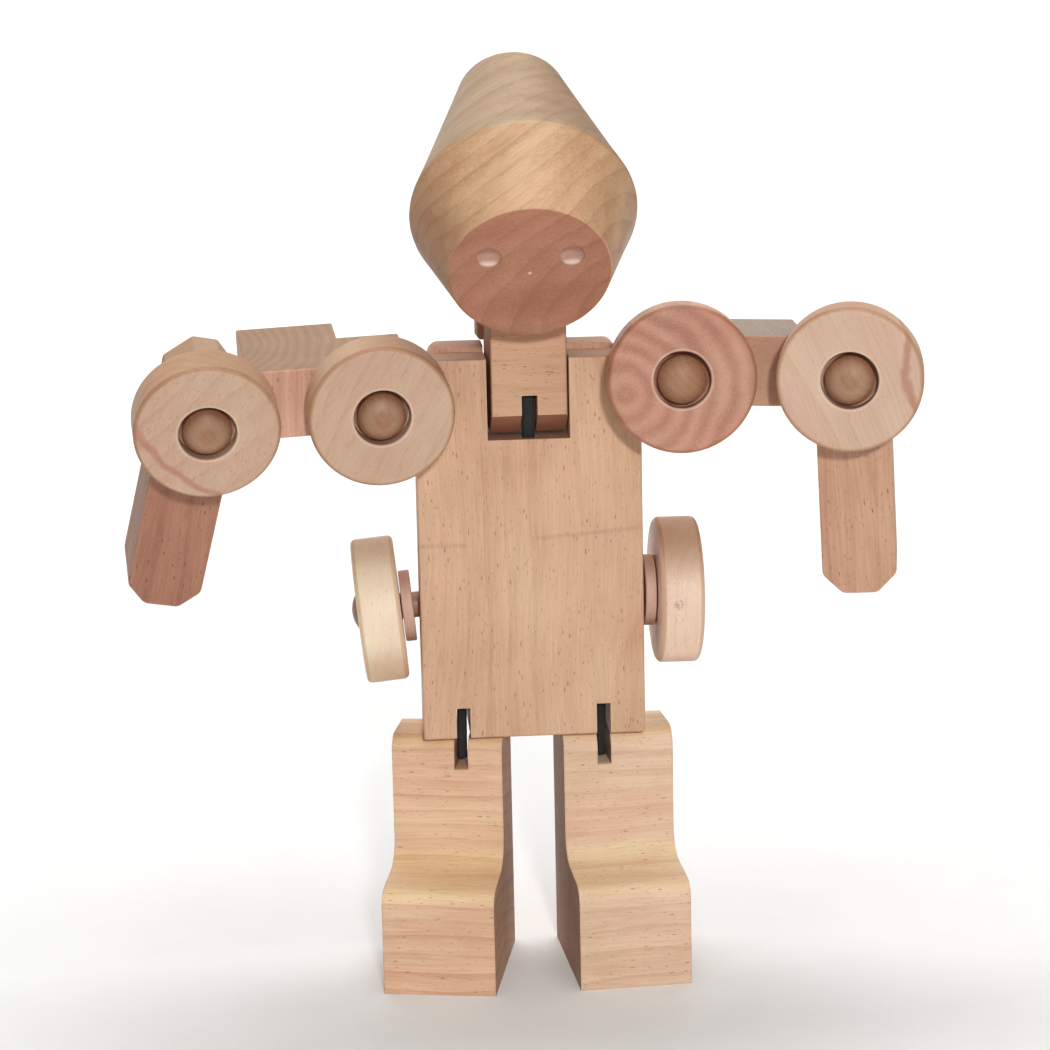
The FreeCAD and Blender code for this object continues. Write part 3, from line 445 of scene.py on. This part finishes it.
def peg_tones_and_shade(pale):
    """Peg heads get painted shade, olive brown, towards their edges; some are paler on the crown."""
    def paint(t, col, obj, rad, along, n):
        # darker towards the rim: painted shade of the dome
        col = t.mix(t.step(rad, 0.0026, 0.0056), col, t.mix(1.0, col, (0.66, 0.55, 0.47), "MULTIPLY"))
        if pale:
            crown = t.step(t.noise(t.mapping(obj, scale=(1000, 1000, 1000)), 0.35, 2.0), 0.35, 0.65)
            ring = t.step(t.math("ABSOLUTE", t.math("SUBTRACT", rad, 0.0034)), 0.0005, 0.0022, 1.0, 0.0)
            col = t.mix(t.math("MULTIPLY", ring, 0.10), col, (0.80, 0.63, 0.48))
            col = t.mix(t.math("MULTIPLY", t.math("MULTIPLY", t.step(rad, 0.0026, 0.0006), crown), 0.20), col, (0.50, 0.25, 0.17))
        return col
    return paint


def wheel(place, w, grain, pale, deep, seed, **kw):
    axis = jaxis("wheel_spin_%s_%s" % (place, w))
    at = centre("wheel_%s_%s" % (place, w))
    rot = axes(grain, kw.pop("away", axis))
    kw["extra"] = turned_edges(axis, kw.pop("extra", None), 0.25 if place == "hip" else 0.85)
    pale_crown = kw.pop("crown", True)
    dress("wheel_%s_%s" % (place, w), beech("beech_wheel_%s_%s" % (place, w), rot, at, pale, deep, seed=seed,
          lathe=(at, axis), rough=0.45, sharp=0.0003, **kw))
    peg = "peg_%s_%s" % (place, w)
    crown = ((0.44, 0.25, 0.145), (0.33, 0.17, 0.095)) if w == "right" else ((0.51, 0.305, 0.185), (0.38, 0.205, 0.12))
    dress(peg, beech("beech_" + peg, axes(axis, (1, 0, 0.3)), centre(peg), crown[0], crown[1], pith=(14, 4), ring=1.7,
          ring_k=0.20, fleck=0.5, seed=seed + 0.5, end=(0.86, 0.80, 0.74), rough=0.36, lathe=(at, axis), sharp=0.0002,
          extra=peg_tones_and_shade(pale_crown)))
    ring = "hub_ring_%s_%s" % (place, w)
    dress(ring, beech("beech_" + ring, axes((0, 0, 1) if abs(axis.z) < 0.9 else (1, 0, 0), axis), centre(ring), (0.72, 0.49, 0.40), (0.62, 0.385, 0.30),
          seed=seed + 0.9, fleck=0.3, lathe=(at, axis), sharp=0.0002))


def side_mark(point, radius, tone, k):
    """A stain or streak in the wood, given as a blurred arc about a point in the piece's own frame."""
    def paint(t, col, obj, rad, along, n):
        d = t.math("MULTIPLY", t.vec("DISTANCE", obj, tuple(point)), 1000.0)
        d = t.math("ADD", d, t.math("MULTIPLY", t.math("SUBTRACT", t.noise(t.mapping(obj, scale=(1000, 1000, 1000)), 0.16, 2.0), 0.5), 3.0))
        arc = t.step(t.math("ABSOLUTE", t.math("SUBTRACT", d, radius)), 0.2, 1.3, 1.0, 0.0)
        return t.mix(t.math("MULTIPLY", arc, k), col, tone)
    return paint


def scuff(point):
    """A small dark scuff on a wheel's rim."""
    def paint(t, col, obj, rad, along, n):
        spot = t.step(t.vec("DISTANCE", obj, tuple(point)), 0.0005, 0.0019, 1.0, 0.0)
        rub = t.step(t.noise(t.mapping(obj, scale=(1000, 1000, 1000)), 1.6, 3.0), 0.38, 0.62)
        return t.mix(t.math("MULTIPLY", t.math("MULTIPLY", spot, rub), 0.6), col, (0.20, 0.12, 0.08))
    return paint


FACE_P, FACE_D = (0.64, 0.45, 0.32), (0.53, 0.345, 0.235)
at = centre("wheel_elbow_right")
wheel("shoulder", "right", (0.55, 0, 0.83), FACE_P, FACE_D, 21.0, pith=(70, 40), ring_k=0.22, fleck=0.35, streak=0.5)
wheel("shoulder", "left", jaxis("wheel_spin_shoulder_left"), (0.60, 0.345, 0.235), (0.42, 0.205, 0.135), 22.0, away=(-1, 0, -0.1),
      pith=(13, 2), ring=4.6, ring_k=0.0, soft_rings=0.32, fleck=0.2, streak=0.5, crown=False, end=(0.98, 0.92, 0.92))
wheel("elbow", "right", (0.45, 0, 0.89), FACE_P, FACE_D, 23.0, pith=(-60, 45), ring_k=0.25, fleck=0.55, streak=0.6,
      extra=side_mark(at + Vector((0.0197, 0, 0.0197)), 41.0, (0.42, 0.16, 0.10), 0.6))
at = centre("wheel_elbow_left")
wheel("elbow", "left", (-0.35, 0, 0.93), (0.70, 0.50, 0.37), (0.585, 0.39, 0.27), 24.0, pith=(65, -40), ring_k=0.2, fleck=0.35, streak=0.5,
      extra=side_mark(at + Vector((0.040, 0, 0.004)), 29.6, (0.46, 0.22, 0.14), 0.8))
wheel("hip", "right", (0, 0.3, 0.95), (0.97, 0.85, 0.67), (0.90, 0.75, 0.57), 25.0, pith=(60, 40), ring_k=0.2, fleck=0.4, streak=0.5)
at = centre("wheel_hip_left")
wheel("hip", "left", (0, -0.3, 0.95), (0.91, 0.71, 0.56), (0.79, 0.59, 0.45), 26.0, pith=(60, -45), ring_k=0.22, fleck=0.4, streak=0.5,
      extra=scuff(at + Vector((-0.001, -0.0181, 0.0))))


# ------------------------------------------------------------------ elastic
def elastic_material(name, rib):
    t = Tree(name)
    co = t.add("ShaderNodeTexCoord")
    p = t.mapping(co.outputs["Object"], scale=(1000, 1000, 1000))
    fuzz = t.noise(p, 6.0, 3.0, 0.6)
    weave = t.add("ShaderNodeTexWave")
    t.link(t.mapping(p, rot=(0, math.radians(38), 0)), weave.inputs["Vector"])
    weave.inputs["Scale"].default_value = rib
    weave.inputs["Distortion"].default_value = 0.6
    k = t.math("ADD", t.math("MULTIPLY", fuzz, 0.5), t.math("MULTIPLY", weave.outputs["Fac"], 0.4), clamp=True)
    t.link(t.mix(k, (0.0025, 0.0025, 0.003), (0.015, 0.0148, 0.017)), t.bsdf.inputs["Base Color"])
    t.link(t.step(fuzz, 0.2, 0.8, 0.55, 0.82), t.bsdf.inputs["Roughness"])
    t.bsdf.inputs["Sheen Weight"].default_value = 0.08
    t.bsdf.inputs["Sheen Roughness"].default_value = 0.4
    bump = t.add("ShaderNodeBump")
    bump.inputs["Strength"].default_value = 0.6
    bump.inputs["Distance"].default_value = 0.00008
    t.link(k, bump.inputs["Height"])
    t.link(bump.outputs[0], t.bsdf.inputs["Normal"])
    return t.mat


FLAT = elastic_material("black_flat_elastic", 0.9)
ROUND = elastic_material("black_cord_elastic", 1.3)


def grid_tube(name, rings, material):
    """A closed tube through rings of points, each ring the same count, with fans at both ends."""
    m = len(rings[0])
    verts = [v for r in rings for v in r]
    faces = [(i * m + j, i * m + (j + 1) % m, (i + 1) * m + (j + 1) % m, (i + 1) * m + j)
             for i in range(len(rings) - 1) for j in range(m)]
    for base, flip in ((0, True), ((len(rings) - 1) * m, False)):
        mid = sum((verts[base + j] for j in range(m)), Vector()) / m
        verts.append(mid)
        c0 = len(verts) - 1
        for j in range(m):
            a, b = base + j, base + (j + 1) % m
            faces.append((b, a, c0) if flip else (a, b, c0))
    mesh = bpy.data.meshes.new(name)
    mesh.from_pydata([tuple(v) for v in verts], [], faces)
    mesh.validate()
    for poly in mesh.polygons:
        poly.use_smooth = True
    mesh.materials.append(material)
    o = bpy.data.objects.new(name, mesh)
    bpy.context.scene.collection.objects.link(o)
    return o


def flat_elastic(node, ragged=0.0, lean=(0.0, 0.0), thin=1.0, wide=1.0):
    """A woven strip in the place of its plain solid: warp ridges down its length, edges rounded, the low end frayed."""
    lo, hi = (Vector(v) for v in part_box(node))
    cx, cy = (lo.x + hi.x) / 2, (lo.y + hi.y) / 2
    hw, ht = (hi.x - lo.x) / 2 * wide, (hi.y - lo.y) / 2
    n, m = 72, 56
    rings = []
    for i in range(n + 1):
        f = i / n
        ring = []
        for j in range(m):
            a_ = 2 * math.pi * j / m
            ca, sa = math.cos(a_), math.sin(a_)
            s = (abs(ca) ** 4.0 + abs(sa) ** 4.0) ** -0.25
            u, v = ca * s, sa * s
            pick = 0.5 + 0.5 * math.cos(2 * math.pi * (f * n / 4.0) + (0 if int((u + 1) * 3.5) % 2 else math.pi))
            cut = 1 - 0.045 * pick - 0.05 * (0.5 + 0.5 * math.cos(u * math.pi * 6.0))
            end = 1 - 0.18 * max(0, 1 - min(f, 1 - f) * n / 3.0)
            z = lo.z + (hi.z - lo.z) * f
            if ragged and f < 0.12:
                z += ragged * (0.12 - f) / 0.12 * (0.5 + 0.5 * math.sin(j * 2.9 + math.sin(j * 1.7) * 2))
            slip = lean[0] + (lean[1] - lean[0]) * (1 - f)
            ring.append(Vector((cx + slip + u * hw * cut * end, cy + v * ht * thin * cut * end, z)))
        rings.append(ring)
    o = grid_tube("woven_" + node, rings, FLAT)
    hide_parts(node)
    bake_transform(o)


def cord_elastic(node, path, r=1.3 * MM):
    """A braided cord along a short path, its strands standing up as crossed ridges."""
    pts = [Vector(v) * MM for v in path]
    line = []
    for i in range(len(pts) - 1):
        for k in range(30):
            line.append(pts[i].lerp(pts[i + 1], k / 30))
    line.append(pts[-1])
    for _ in range(5):
        line = [line[0]] + [(line[i - 1] + line[i] * 2 + line[i + 1]) / 4 for i in range(1, len(line) - 1)] + [line[-1]]
    rings, m, run = [], 28, 0.0
    side_ = Vector((0, 0, 1))
    for i, c_ in enumerate(line):
        d = (line[min(i + 1, len(line) - 1)] - line[max(i - 1, 0)]).normalized()
        x_ = (side_ - d * side_.dot(d)).normalized()
        y_ = d.cross(x_)
        if i:
            run += (c_ - line[i - 1]).length
        ring = []
        for j in range(m):
            a_ = 2 * math.pi * j / m
            ph = run / (4.2 * MM) * 2 * math.pi
            ridge = max(abs(math.cos(3 * a_ + ph)), abs(math.cos(3 * a_ - ph)))
            rr = r * (0.88 + 0.11 * ridge) * (1 - 0.3 * max(0, 1 - min(i, len(line) - 1 - i) / 2.0))
            ring.append(c_ + x_ * math.cos(a_) * rr + y_ * math.sin(a_) * rr)
        rings.append(ring)
    o = grid_tube("braided_" + node, rings, ROUND)
    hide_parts(node)
    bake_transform(o)


flat_elastic("neck_elastic")
flat_elastic("hip_elastic_right", ragged=0.0006, lean=(-0.00010, -0.00030), thin=0.5, wide=1.14)
flat_elastic("hip_elastic_left", ragged=0.0005, lean=(-0.00010, -0.00030), thin=0.5, wide=1.14)
cord_elastic("shoulder_elastic_right", [(-17.985, 4.345, 148.005), (-34.897, 2.717, 147.412)])
cord_elastic("shoulder_elastic_left", [(24.09, 4.039, 150.14), (41.051, 3.002, 149.636)])
cord_elastic("elbow_elastic_right", [(-56.668, 1.357, 146.807), (-65.621, 0.495, 146.492), (-72.364, -0.816, 147.840)])
cord_elastic("elbow_elastic_left", [(63.516, 2.379, 148.976), (72.495, 1.830, 148.709), (79.323, 0.316, 149.002)])


# ------------------------------------------------------------------ stage
def backdrop():
    """A pale floor that curves up behind the object."""
    prof = [(-2.2, 0.0), (-1.0, 0.0), (0.0, 0.0), (1.1, 0.0)]
    prof += [(1.1 + 0.9 * math.sin(a), 0.9 - 0.9 * math.cos(a)) for a in [math.pi / 2 * k / 24 for k in range(1, 25)]]
    prof += [(2.0, 3.2)]
    xs = [-4.0, -1.5, 0.0, 1.5, 4.0]
    verts = [(x, y, z) for y, z in prof for x in xs]
    k = len(xs)
    faces = [(i * k + j, i * k + j + 1, (i + 1) * k + j + 1, (i + 1) * k + j) for i in range(len(prof) - 1) for j in range(k - 1)]
    mesh = bpy.data.meshes.new("floor")
    mesh.from_pydata(verts, [], faces)
    for poly in mesh.polygons:
        poly.use_smooth = True
    t = Tree("pale_paper")
    co = t.add("ShaderNodeTexCoord")
    n = t.noise(co.outputs["Object"], 60.0, 3.0)
    t.link(t.mix(n, (0.86, 0.86, 0.86), (0.90, 0.90, 0.895)), t.bsdf.inputs["Base Color"])
    t.bsdf.inputs["Roughness"].default_value = 0.9
    t.bsdf.inputs["Specular IOR Level"].default_value = 0.1
    mesh.materials.append(t.mat)
    o = bpy.data.objects.new("floor", mesh)
    bpy.context.scene.collection.objects.link(o)


backdrop()
scene = bpy.context.scene


def area(name, at, aim, size, watts, colour):
    light = bpy.data.lights.new(name, "AREA")
    light.shape = "DISK"
    light.size = size
    light.energy = watts
    light.color = colour
    o = bpy.data.objects.new(name, light)
    o.location = at
    o.rotation_mode = "QUATERNION"
    o.rotation_quaternion = (Vector(aim) - Vector(at)).to_track_quat("-Z", "Y")
    scene.collection.objects.link(o)


area("key", (0.08, -1.55, 0.62), (0, 0, 0.10), 0.13, 12.6, (1.0, 0.985, 0.96))
area("fill_left", (-1.2, -0.7, 0.7), (0, 0, 0.12), 0.9, 0.7, (1.0, 1.0, 0.99))
area("top", (0.1, -0.35, 1.45), (0, 0, 0.08), 0.9, 6.0, (0.98, 1.0, 0.98))
area("backdrop_wash", (0, 0.6, 1.7), (0, 1.9, 0.5), 1.4, 36.0, (1, 1, 1))
world = bpy.data.worlds.new("soft_room")
scene.world = world
world.use_nodes = True
world.node_tree.nodes["Background"].inputs["Color"].default_value = (1, 1, 1, 1)
world.node_tree.nodes["Background"].inputs["Strength"].default_value = 0.10
scene.view_settings.view_transform = "Standard"

# ------------------------------------------------------------------ camera
yaw, tilt, turn = math.radians(-3.67), math.radians(-11.064), math.radians(-1.235)
R = Matrix.Rotation(yaw, 3, "Z") @ Matrix.Rotation(tilt, 3, "X")
right, ahead, up = R @ Vector((1, 0, 0)), R @ Vector((0, 1, 0)), R @ Vector((0, 0, 1))
r2 = right * math.cos(turn) + up * math.sin(turn)
u2 = -right * math.sin(turn) + up * math.cos(turn)
cam = bpy.data.cameras.new("camera")
cam.sensor_width = 36.0
cam.lens = 88.78
cam.clip_start, cam.clip_end = 0.05, 20.0
co = bpy.data.objects.new("camera", cam)
scene.collection.objects.link(co)
m = Matrix((r2, u2, -ahead)).transposed().to_4x4()
m.translation = (Vector((-40.856, -614.958, 233.004)) + SHIFT) * MM
co.matrix_world = m
scene.camera = co

bpy.context.view_layer.update()
